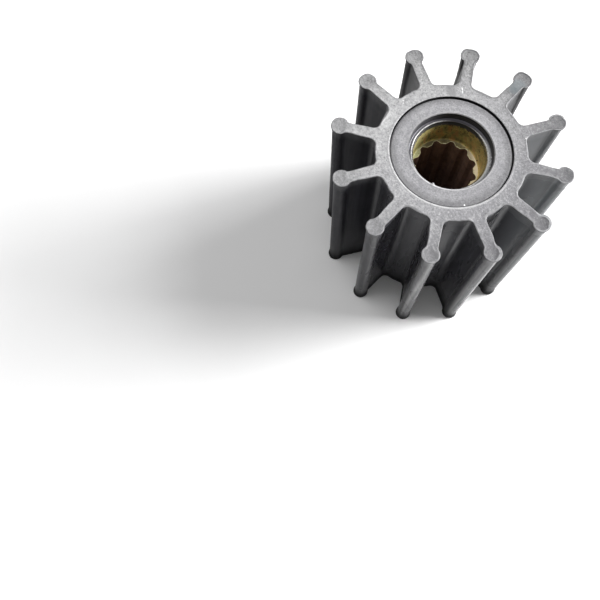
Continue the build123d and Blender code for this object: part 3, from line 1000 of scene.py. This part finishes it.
def mat_brass(name, kind):
    m = Nodes(name)
    mid = m.noise(0.45, 4, 0.6, dist=0.4)
    fine = m.noise(1.6, 4, 0.65)
    pit = m.noise(1.3, 3, 0.5)
    if kind == "ledge":
        r = m.radius()
        rings = m.nt.nodes.new("ShaderNodeTexNoise")
        rings.noise_dimensions = "1D"
        rings.inputs["Scale"].default_value = 5.0
        m.link(r, rings.inputs["W"])
        col = m.mix(m.ramp(rings.outputs["Fac"], [(0.35, 0.0), (0.7, 1.0)]), (0.055, 0.053, 0.062), (0.20, 0.198, 0.215))
        # painted highlight: paler rings on the side towards 212 degrees
        col = m.mix(m.math("MULTIPLY", m.field(212, 0.10, -0.40, clamp=True), m.ramp(rings.outputs["Fac"], [(0.40, 0.35), (0.60, 0.9)])), col, (0.30, 0.30, 0.305))
        # darker on the part towards 325 degrees
        col = m.mix(m.field(325, 0.10, -0.25, clamp=True), col, (0.040, 0.037, 0.048))
        # painted highlight: the bright ring widened outwards on the side towards 240 degrees
        wide = m.math("MULTIPLY", m.math("MULTIPLY_ADD", r, -3.0, 33.0, clamp=True), m.field(240, 0.24, -1.75, clamp=True))
        col = m.mix(m.math("MULTIPLY", wide, m.ramp(m.noise(1.6, 3, 0.65), [(0.36, 0.35), (0.56, 1.0)])), col, (0.88, 0.875, 0.87))
        # painted glints: bright flecks on the side towards 212 degrees
        glint_fleck = m.math("MULTIPLY", m.ramp(m.noise(2.0, 3, 0.7), [(0.54, 0.0), (0.62, 0.9)]), m.field(212, 0.16, -0.90, clamp=True))
        col = m.mix(glint_fleck, col, (0.88, 0.88, 0.87))
        return m.set(color=col, metal=0.35, rough=m.ramp(mid, [(0.3, 0.5), (0.7, 0.38)]), normal=m.bump(rings.outputs["Fac"], 0.4, 0.00008))
    if kind == "bright":
        # painted highlight: the brass land painted near-white, standing in for the light it reflects
        col = m.ramp(fine, [(0.36, (0.30, 0.295, 0.29)), (0.52, (0.62, 0.615, 0.61)), (0.66, (0.88, 0.875, 0.87))])
        # painted shade: dimmer on the side towards 55 degrees
        col = m.mix(m.field(55, 0.075, -0.22, clamp=True), col, (0.30, 0.295, 0.29))
        # painted highlight: brightest on the side towards 225 degrees
        col = m.mix(m.field(225, 0.10, -0.30, clamp=True), col, (0.95, 0.945, 0.94))
        # painted dark reflection: nearly black on the part of the ring towards 324 degrees
        col = m.mix(m.field(324, 0.45, -3.55, clamp=True), col, (0.070, 0.066, 0.072))
        return m.set(color=col, metal=0.35, rough=m.ramp(fine, [(0.3, 0.30), (0.7, 0.45)]))
    if kind == "hidden":
        col = m.ramp(mid, [(0.3, (0.30, 0.26, 0.13)), (0.7, (0.42, 0.36, 0.18))])
        return m.set(color=col, metal=0.8, rough=0.5)
    x, y, z = m.xyz()
    if kind == "bore":
        mid = m.noise(0.42, 4, 0.68, dist=0.8)
        olive = m.ramp(mid, [(0.30, (0.120, 0.108, 0.045)), (0.43, (0.27, 0.24, 0.090)), (0.55, (0.50, 0.42, 0.15)), (0.70, (0.72, 0.61, 0.27))])
        # stains: brown and orange running down, greener on one side
        stain = m.noise(0.7, 4, 0.65, vec=m.scaled(1, 1, 0.45), dist=0.7)
        col = m.mix(m.ramp(stain, [(0.50, 0.0), (0.60, 0.80)]), olive, (0.50, 0.26, 0.10))
        col = m.mix(m.ramp(stain, [(0.34, 0.85), (0.45, 0.0)]), col, (0.085, 0.070, 0.024))
        # browner on the far side
        col = m.mix(m.math("MULTIPLY", m.field(318, 0.16, -0.75, clamp=True), 0.45), col, (0.20, 0.155, 0.060))
        # orange-yellow on the side towards 240 degrees, greener opposite it
        col = m.mix(m.math("MULTIPLY", m.field(238, 0.13, -0.40, clamp=True), m.ramp(mid, [(0.35, 0.35), (0.6, 0.9)])), col, (0.80, 0.60, 0.24))
        col = m.mix(m.field(75, 0.10, -0.35, clamp=True), col, (0.50, 0.50, 0.25))
        col = m.mix(m.ramp(pit, [(0.30, 1.0), (0.37, 0.0)]), col, (0.045, 0.022, 0.015))
        # painted shade: black in the relief under the bright ring, less so on the side towards 235 degrees, with specks
        # below it
        d = m.math("SUBTRACT", z, INS_Z1 - 1.15)
        top = m.math("MULTIPLY_ADD", d, 2.4, m.math("MULTIPLY_ADD", fine, 2.0, -0.85), clamp=True)
        top = m.math("MULTIPLY", top, m.math("SUBTRACT", 1.0, m.math("MULTIPLY", m.field(235, 0.25, -1.6, clamp=True), 0.45)))
        col = m.mix(top, col, (0.010, 0.010, 0.009))
        # painted glints: bright metal round the mouth on the side towards 245 degrees
        mouth_glint = m.math("MULTIPLY", m.math("MULTIPLY_ADD", m.math("SUBTRACT", z, INS_Z1 - 0.48), 5.0, 0.0, clamp=True), m.field(243, 0.30, -1.95, clamp=True))
        col = m.mix(m.math("MULTIPLY", mouth_glint, m.ramp(fine, [(0.34, 0.3), (0.50, 1.0)])), col, (0.93, 0.92, 0.90))
        speck = m.math("MULTIPLY", m.ramp(m.noise(1.9, 2, 0.5), [(0.60, 0.0), (0.66, 1.0)]), m.math("MULTIPLY_ADD", d, 0.45, 1.15, clamp=True))
        col = m.mix(speck, col, (0.035, 0.020, 0.014))
        h = m.math("ADD", m.math("MULTIPLY", mid, 0.5), m.math("MULTIPLY", fine, 0.4))
        return m.set(color=col, metal=0.25, rough=m.ramp(fine, [(0.3, 0.55), (0.7, 0.4)]), normal=m.bump(h, 0.6, 0.00015))
    if kind == "teeth":
        col = m.ramp(mid, [(0.3, (0.075, 0.062, 0.026)), (0.55, (0.145, 0.120, 0.050)), (0.75, (0.24, 0.205, 0.095))])
        # painted light: pale on the side towards 240 degrees and greenish pale opposite it, where light reaches the
        # tooth ends
        col = m.mix(m.field(238, 0.26, -1.05, clamp=True), col, (0.80, 0.70, 0.50))
        col = m.mix(m.field(78, 0.30, -1.25, clamp=True), col, (0.50, 0.50, 0.28))
        col = m.mix(m.ramp(pit, [(0.30, 0.9), (0.38, 0.0)]), col, (0.10, 0.07, 0.03))
        return m.set(color=col, metal=0.15, rough=m.ramp(fine, [(0.3, 0.6), (0.7, 0.45)]), normal=m.bump(fine, 0.5, 0.0001))
    if kind == "burr":
        col = m.ramp(fine, [(0.35, (0.36, 0.33, 0.17)), (0.5, (0.62, 0.58, 0.36)), (0.65, (0.80, 0.76, 0.52))])
        return m.set(color=col, metal=0.15, rough=m.ramp(fine, [(0.3, 0.5), (0.7, 0.35)]))
    # splined length: dark, oxidised brown
    col = m.ramp(mid, [(0.3, (0.110, 0.066, 0.054)), (0.7, (0.185, 0.112, 0.090))])
    return m.set(color=col, metal=0.0, rough=m.ramp(fine, [(0.3, 0.8), (0.7, 0.65)]), spec=0.1, normal=m.bump(fine, 0.5, 0.0001))


body = build_body(mat_face(), mat_side(), mat_land(), mat_groove(), mat_eye())
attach(body, "root")
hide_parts("impeller_body")

insert = build_insert([mat_brass("brass_hidden", "hidden"), mat_brass("brass_end", "ledge"), mat_brass("brass_lead_in", "bright"),
                       mat_brass("brass_bore", "bore"), mat_brass("brass_teeth_ends", "teeth"), mat_brass("brass_spline", "spline"),
                       mat_brass("brass_burr", "burr")])
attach(insert, "root")
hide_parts("hub_insert")


# --- floor -----------------------------------------------------------------------------
def floor():
    m = Nodes("floor_paper")
    n = m.noise(0.02, 2, 0.5)
    m.set(color=m.ramp(n, [(0.3, (0.87, 0.87, 0.87)), (0.7, (0.89, 0.89, 0.89))]), rough=0.9, spec=0.1)
    s = 2.5
    me = bpy.data.meshes.new("floor")
    me.from_pydata([(-s, -s, 0), (s, -s, 0), (s, s, 0), (-s, s, 0)], [], [(0, 1, 2, 3)])
    me.materials.append(m.mat)
    ob = bpy.data.objects.new("floor", me)
    bpy.context.scene.collection.objects.link(ob)


floor()

# --- camera ---------------------------------------------------------------------------
cam_data = bpy.data.cameras.new("camera")
cam = bpy.data.objects.new("camera", cam_data)
bpy.context.scene.collection.objects.link(cam)
right = Vector((-0.28489691, -0.95844004, 0.01504787))
up = Vector((0.9252249, -0.27085206, 0.26570293))
back = right.cross(up)
cam.matrix_world = Matrix((
    (right.x, up.x, back.x, -0.07150783),
    (right.y, up.y, back.y, 0.05765062),
    (right.z, up.z, back.z, 0.18762104),
    (0, 0, 0, 1)))
cam_data.sensor_width = 36.0
cam_data.lens = 35.49266
cam_data.shift_x = -0.0440955
cam_data.shift_y = 0.0391902
cam_data.clip_start = 0.005
cam_data.clip_end = 20.0
bpy.context.scene.camera = cam


# --- light ------------------------------------------------------------------------------
def area(name, az, el, dist, size, power, color=(1, 1, 1)):
    """A soft box. az is measured from +X, anticlockwise seen from above."""
    d = bpy.data.lights.new(name, "AREA")
    d.shape = "SQUARE"
    d.size = size
    d.energy = power
    d.color = color
    o = bpy.data.objects.new(name, d)
    bpy.context.scene.collection.objects.link(o)
    a, e = math.radians(az), math.radians(el)
    pos = Vector((math.cos(a) * math.cos(e), math.sin(a) * math.cos(e), math.sin(e))) * dist + Vector((0, 0, 0.025))
    o.location = pos
    o.rotation_mode = "QUATERNION"
    o.rotation_quaternion = (pos - Vector((0, 0, 0.025))).to_track_quat("Z", "Y")
    o.visible_camera = False
    return o


area("key_right", 270, 30, 0.9, 0.45, 11.5)
area("key_low", 260, 12, 0.9, 0.45, 20.0)
area("back_left", 60, 62, 0.9, 0.45, 2.0)
area("top", 60, 86, 0.9, 0.45, 1.9)

world = bpy.data.worlds.new("world")
bpy.context.scene.world = world
world.use_nodes = True
bg = world.node_tree.nodes["Background"]
bg.inputs[0].default_value = (1, 1, 1, 1)
bg.inputs[1].default_value = 0.12

bpy.context.scene.view_settings.view_transform = "Standard"
bpy.context.scene.view_settings.look = "None"
